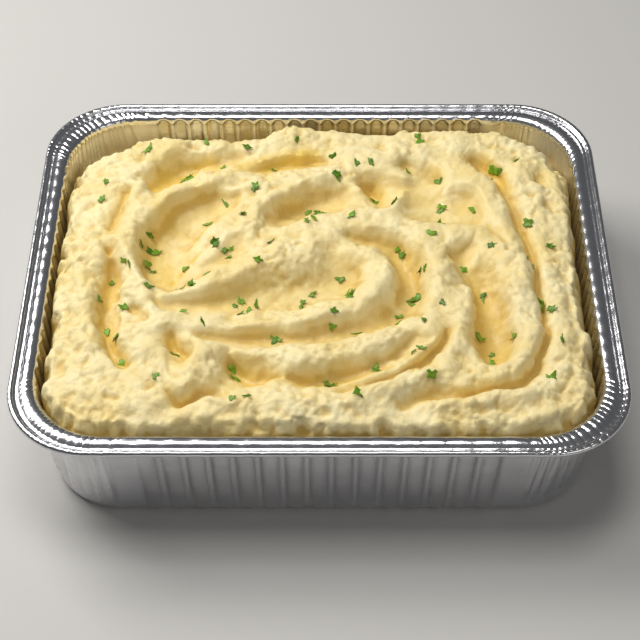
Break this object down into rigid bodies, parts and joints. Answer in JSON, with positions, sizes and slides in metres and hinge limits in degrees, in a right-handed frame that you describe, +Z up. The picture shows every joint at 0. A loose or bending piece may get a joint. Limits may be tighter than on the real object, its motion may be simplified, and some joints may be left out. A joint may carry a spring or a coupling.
{
  "type": "mashed potato side in a foil tray",
  "caption": "Rectangular fluted foil tray filled with swirled buttery mashed potato and sprinkled with chopped parsley.",
  "frame": {"origin": "middle of the tray's flat base, on the surface it stands on", "axes": "+X along the tray's length, +Y across it towards the back, +Z up"},
  "size_m": [0.3242, 0.2722, 0.0793],
  "materials": {
    "foil": "bright pressed foil",
    "mashed_potato": "soft, moist, slightly lumpy",
    "butter": "melted, glossy",
    "parsley": "chopped leaf"
  },
  "bodies": {
    "root": {"tray": "foil", "mash": "mashed_potato"}
  },
  "joints": []
}
